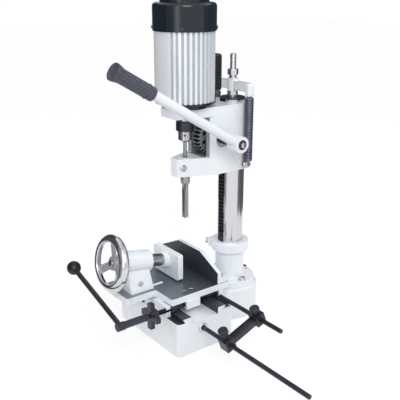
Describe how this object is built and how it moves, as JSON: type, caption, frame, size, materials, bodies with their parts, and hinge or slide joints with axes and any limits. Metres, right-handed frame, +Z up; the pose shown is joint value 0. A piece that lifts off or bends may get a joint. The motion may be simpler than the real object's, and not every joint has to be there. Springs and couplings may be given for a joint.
{
  "type": "benchtop mortiser",
  "caption": "Benchtop hollow-chisel mortiser: motor head with rack feed and lever on a round column, cross-slide table with fence and screw vise, side stop rods.",
  "frame": {"origin": "on the bench, under the axis of the spindle, on the cross rib under the base", "axes": "+X to the operator's right, +Y back to the column, +Z up along the column"},
  "size_m": [0.7333, 0.5749, 0.95],
  "materials": {
    "white_enamel": "gloss enamel on cast iron",
    "ground_iron": "ground and oiled",
    "chrome": "polished",
    "bright_steel": "bright",
    "black_steel": "blackened",
    "spring_steel": "oiled spring wire",
    "motor_paint": "light grey paint",
    "motor_black": "gloss black",
    "black_plastic": "moulded",
    "grip_rubber": "ribbed grip"
  },
  "bodies": {
    "base": {"base_casting": "white_enamel", "column_flange": "white_enamel", "flange_bolts": "bright_steel", "column_collar": "white_enamel", "collar_screw": "bright_steel", "column_tube": "chrome", "column_rack": "black_steel", "column_cap": "ground_iron", "spring_stud": "bright_steel", "stud_nuts": "bright_steel", "spring_crossbar": "white_enamel", "table_rack": "ground_iron", "base_stop_rod": "black_steel", "return_spring_left": "spring_steel", "return_spring_right": "spring_steel"},
    "saddle": {"saddle_casting": "white_enamel", "saddle_gib": "ground_iron", "gib_screws": "black_steel", "saddle_stop_rod": "black_steel", "feed_bearing": "black_steel"},
    "cross_lever": {"feed_lever_shaft": "black_steel", "feed_pinion": "black_steel", "feed_lever_arm": "black_steel", "feed_lever_ball": "black_plastic"},
    "star": {"star_knob": "black_steel", "cross_feed_screw": "black_steel"},
    "table": {"table_casting": "ground_iron", "fence": "white_enamel", "fence_bolts": "bright_steel", "feed_nut_block": "white_enamel", "nut_block_screws": "black_steel", "vise_body": "white_enamel", "vise_lock_bolts": "bright_steel", "jaw_stop_pin": "white_enamel"},
    "vise_wheel": {"handwheel": "chrome", "vise_screw": "bright_steel", "handwheel_nut": "chrome"},
    "jaw": {"vise_ram": "bright_steel", "vise_jaw": "white_enamel"},
    "stop": {"stop_bar": "black_steel"},
    "thumb_near": {"thumb_screw_near": "black_steel"},
    "thumb_far": {"thumb_screw_far": "black_steel"},
    "head": {"head_casting": "white_enamel", "gear_shaft_bushes": "black_steel", "chisel_clamp_bolt": "bright_steel", "hollow_chisel": "bright_steel", "motor_frame": "motor_paint", "motor_end_bell": "motor_black", "motor_fan_cover": "motor_black", "motor_screws": "bright_steel", "switch_box": "black_plastic", "spring_lug_bolts": "bright_steel"},
    "spindle": {"motor_shaft": "bright_steel", "chuck_body": "bright_steel", "chuck_sleeve": "black_steel", "auger_bit": "bright_steel"},
    "feed_lever": {"feed_gear": "black_steel", "gear_shaft": "black_steel", "lever_arm": "white_enamel", "lever_grip": "grip_rubber"}
  },
  "joints": [
    {"name": "head_feed", "type": "slide", "parent": "base", "child": "head", "axis": [0, 0, 1], "range_m": [-0.064, 0], "stiffness_N_per_m": 2800, "springref_m": 0.17, "deforming": ["return_spring_left", "return_spring_right"]},
    {"name": "feed_lever_turn", "type": "hinge", "parent": "head", "child": "feed_lever", "pos_m": [0, 0.0865, 0.558], "axis": [1, 0, 0], "range_deg": [0, 75]},
    {"name": "spindle_spin", "type": "hinge", "parent": "head", "child": "spindle", "pos_m": [0, 0, 0.6], "axis": [0, 0, 1], "continuous": true},
    {"name": "table_x", "type": "slide", "parent": "base", "child": "saddle", "axis": [1, 0, 0], "range_m": [-0.09, 0.055]},
    {"name": "cross_lever_turn", "type": "hinge", "parent": "saddle", "child": "cross_lever", "pos_m": [0.09, 0, 0.1195], "axis": [0, 1, 0], "range_deg": [-574, 351]},
    {"name": "table_y", "type": "slide", "parent": "saddle", "child": "table", "axis": [0, 1, 0], "range_m": [-0.009, 0.024]},
    {"name": "star_turn", "type": "hinge", "parent": "saddle", "child": "star", "pos_m": [0.09, 0, 0.1195], "axis": [0, 1, 0], "range_deg": [-650, 1730]},
    {"name": "jaw_slide", "type": "slide", "parent": "table", "child": "jaw", "axis": [0, 0.9816, -0.1908], "range_m": [-0.031, 0.02]},
    {"name": "handwheel_turn", "type": "hinge", "parent": "table", "child": "vise_wheel", "pos_m": [-0.04, -0.103, 0.2135], "axis": [0, 0.9816, -0.1908], "range_deg": [-1400, 905]},
    {"name": "stop_slide", "type": "slide", "parent": "base", "child": "stop", "axis": [1, 0, 0], "range_m": [-0.075, 0.07]},
    {"name": "thumb_near_turn", "type": "hinge", "parent": "stop", "child": "thumb_near", "pos_m": [0.257, -0.054, 0.07], "axis": [0, -0.359, 0.9333], "range_deg": [0, 360]},
    {"name": "thumb_far_turn", "type": "hinge", "parent": "stop", "child": "thumb_far", "pos_m": [0.257, 0.05, 0.11], "axis": [0, -0.359, 0.9333], "range_deg": [0, 360]}
  ],
  "couplings": [
    {"joint": "feed_lever_turn", "follows": "head_feed", "rad_per_m": -20.408},
    {"joint": "cross_lever_turn", "follows": "table_x", "rad_per_m": 111.11},
    {"joint": "star_turn", "follows": "table_y", "rad_per_m": 1256.6},
    {"joint": "handwheel_turn", "follows": "jaw_slide", "rad_per_m": 785.4}
  ]
}
